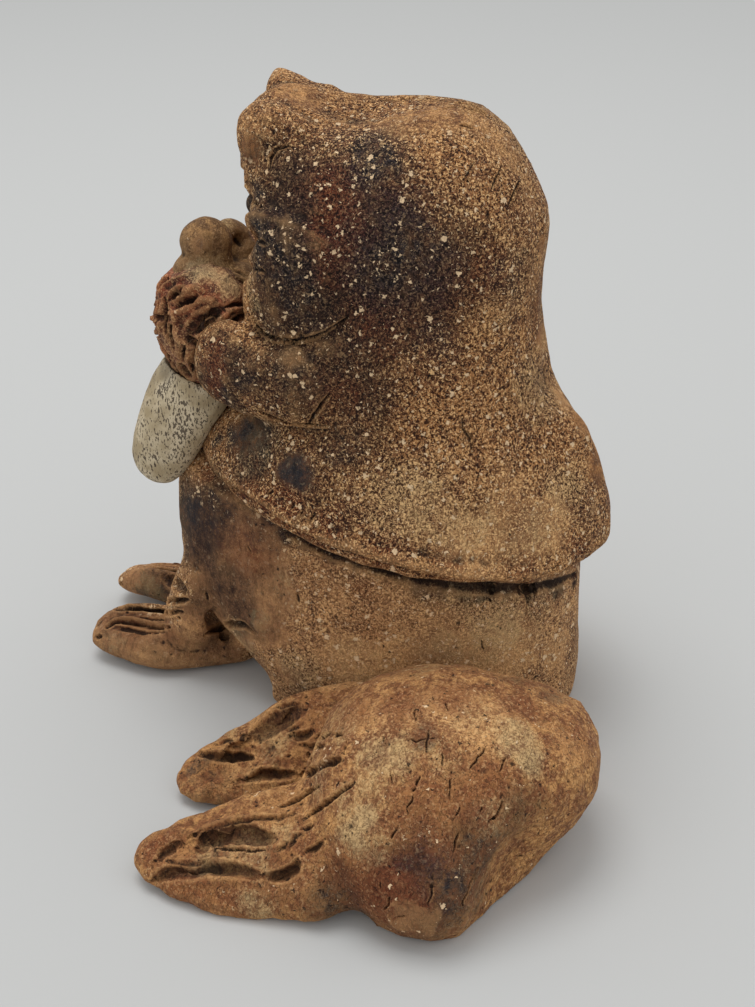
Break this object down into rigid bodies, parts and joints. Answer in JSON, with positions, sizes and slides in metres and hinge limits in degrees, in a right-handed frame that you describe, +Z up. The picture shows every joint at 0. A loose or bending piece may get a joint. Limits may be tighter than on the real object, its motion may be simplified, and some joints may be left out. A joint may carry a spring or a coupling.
{
  "type": "walrus figurine",
  "caption": "Free-standing hand-built stoneware walrus with a hooded head over a flared shoulder cape, stubby tusks and hindquarters curled round to its left side.",
  "frame": {"origin": "on the floor under the middle of the whole figurine's bounding box", "axes": "+Z up, -Y the way the walrus's face points, +X towards its left side, where the hindquarters curl round"},
  "size_m": [0.1314, 0.1366, 0.1446],
  "materials": {
    "head_clay": "matt, dark iron wash over coarse pale grog",
    "body_clay": "matt, olive tan, coarse grog",
    "rump_clay": "matt, orange rust with cream patches",
    "face_clay": "matt, tan",
    "pad_clay": "matt, brick red with dark hollows",
    "tusk_slip": "matt cream slip with dark cracks",
    "eye_clay": "matt, dark"
  },
  "bodies": {
    "root": {"hood": "head_clay", "torso": "body_clay", "rump": "rump_clay", "hind_flipper_left": "rump_clay", "hind_flipper_right": "rump_clay", "front_flipper_left": "rump_clay", "front_flipper_right": "rump_clay", "muzzle": "face_clay", "jowl_left": "head_clay", "jowl_right": "head_clay", "whisker_pad_left": "pad_clay", "whisker_pad_right": "pad_clay", "nose_left": "face_clay", "nose_right": "face_clay", "tusk_left": "tusk_slip", "tusk_right": "tusk_slip", "chin": "face_clay", "eye_left": "eye_clay", "eye_right": "eye_clay"}
  },
  "joints": []
}
